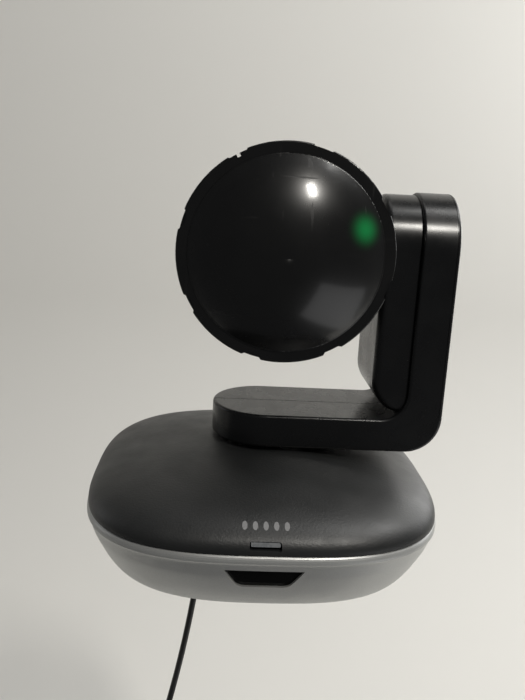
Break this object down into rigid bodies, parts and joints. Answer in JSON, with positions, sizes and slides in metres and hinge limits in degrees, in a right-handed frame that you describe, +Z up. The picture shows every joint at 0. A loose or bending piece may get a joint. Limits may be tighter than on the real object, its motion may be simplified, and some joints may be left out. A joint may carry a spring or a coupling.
{
  "type": "ptz camera",
  "caption": "Pan-tilt-zoom conference camera: rounded-square base, L-shaped arm that pans, round head that tilts, with a domed lens cap and its lead.",
  "frame": {"origin": "mouth of the tripod insert on the underside, on the pan axis", "axes": "+Z up along the pan axis, -Y out of the front of the base, +X to the right of someone who faces the lens"},
  "size_m": [0.1294, 0.1857, 0.4166],
  "materials": {
    "silver_paint": "satin silver painted moulding",
    "charcoal_matte": "fine textured charcoal",
    "satin_black": "satin black moulding",
    "gloss_black": "polished black",
    "cap_gloss_black": "glossy black with fine scratches",
    "light_guide": "translucent light guide",
    "led": "clear moulded LED",
    "foot_rubber": "matt rubber",
    "brass": "turned",
    "circuit_board": "solder mask",
    "chip_black": "moulded epoxy",
    "socket_black": "moulded",
    "cast_metal": "die cast",
    "sheet_steel": "pressed sheet",
    "shaft_steel": "ground",
    "steel": "plated",
    "bush_bronze": "sintered bronze",
    "motor_steel": "drawn can",
    "gear_plastic": "acetal",
    "lens_black": "anti-reflection black",
    "glass": "coated optical glass",
    "lead_black": "satin PVC sheath",
    "tie_black": "woven hook and loop strap"
  },
  "bodies": {
    "base": {"base_bowl": "silver_paint", "ir_window": "gloss_black", "base_cover": "charcoal_matte", "status_light_guide": "light_guide", "status_led_board": "circuit_board", "rubber_foot": "foot_rubber", "tripod_insert": "brass", "main_board": "circuit_board", "board_screws": "steel", "board_chips": "chip_black", "ir_receiver": "chip_black", "lead_socket": "socket_black", "pan_frame": "cast_metal", "frame_screws": "steel", "pan_bushes": "bush_bronze", "pan_motor": "motor_steel", "cover_screws": "steel", "lead_plug": "lead_black", "strain_relief": "lead_black", "lead": "lead_black", "lead_coil": "lead_black", "coil_tie": "tie_black", "lead_tail": "lead_black", "far_plug": "lead_black"},
    "pan_drive": {"pan_pinion": "gear_plastic"},
    "arm": {"arm_front_shell": "satin_black", "arm_rear_shell": "satin_black", "arm_side_cover": "satin_black", "arm_screws": "steel", "tilt_housing": "satin_black", "arm_chassis": "sheet_steel", "pan_shaft": "shaft_steel", "pan_clip": "steel", "pan_gear": "gear_plastic", "tilt_bushes": "bush_bronze", "tilt_motor": "motor_steel"},
    "tilt_drive": {"tilt_pinion": "gear_plastic"},
    "head": {"tilt_gear": "gear_plastic", "tilt_shaft": "shaft_steel", "tilt_clip": "steel", "head_front_shell": "satin_black", "head_rear_shell": "satin_black", "head_screws": "steel", "front_bezel": "gloss_black", "head_light_guide": "light_guide", "head_led": "led", "head_frame": "cast_metal", "tilt_hub": "satin_black", "lens_barrel": "lens_black", "front_lens": "glass", "rear_lens": "glass", "guide_rods": "steel", "sensor_board": "circuit_board", "image_sensor": "chip_black"},
    "zoom_group": {"zoom_carriage": "lens_black", "zoom_lens": "glass"},
    "focus_group": {"focus_carriage": "lens_black", "focus_lens": "glass"},
    "cap": {"lens_cap": "cap_gloss_black"}
  },
  "joints": [
    {"name": "pan", "type": "hinge", "parent": "base", "child": "arm", "pos_m": [0, 0, 0.05], "axis": [0, 0, 1], "range_deg": [-130, 130]},
    {"name": "pan_pinion_spin", "type": "hinge", "parent": "base", "child": "pan_drive", "pos_m": [0, 0.02, 0.0157], "axis": [0, 0, 1], "range_deg": [-525, 525]},
    {"name": "tilt", "type": "hinge", "parent": "arm", "child": "head", "pos_m": [0.00185, 0, 0.11515], "axis": [-1, 0, 0], "range_deg": [-40, 90]},
    {"name": "tilt_pinion_spin", "type": "hinge", "parent": "arm", "child": "tilt_drive", "pos_m": [0.0557, 0, 0.09515], "axis": [-1, 0, 0], "range_deg": [-365, 165]},
    {"name": "zoom_travel", "type": "slide", "parent": "head", "child": "zoom_group", "axis": [0, -1, 0], "range_m": [-0.005, 0.006]},
    {"name": "focus_travel", "type": "slide", "parent": "head", "child": "focus_group", "axis": [0, -1, 0], "range_m": [-0.004, 0.0035]},
    {"name": "lens_cap_pull", "type": "slide", "parent": "head", "child": "cap", "axis": [0, -1, 0], "range_m": [0, 0.028]}
  ],
  "couplings": [
    {"joint": "pan_pinion_spin", "follows": "pan", "ratio": -4},
    {"joint": "tilt_pinion_spin", "follows": "tilt", "ratio": -4}
  ]
}
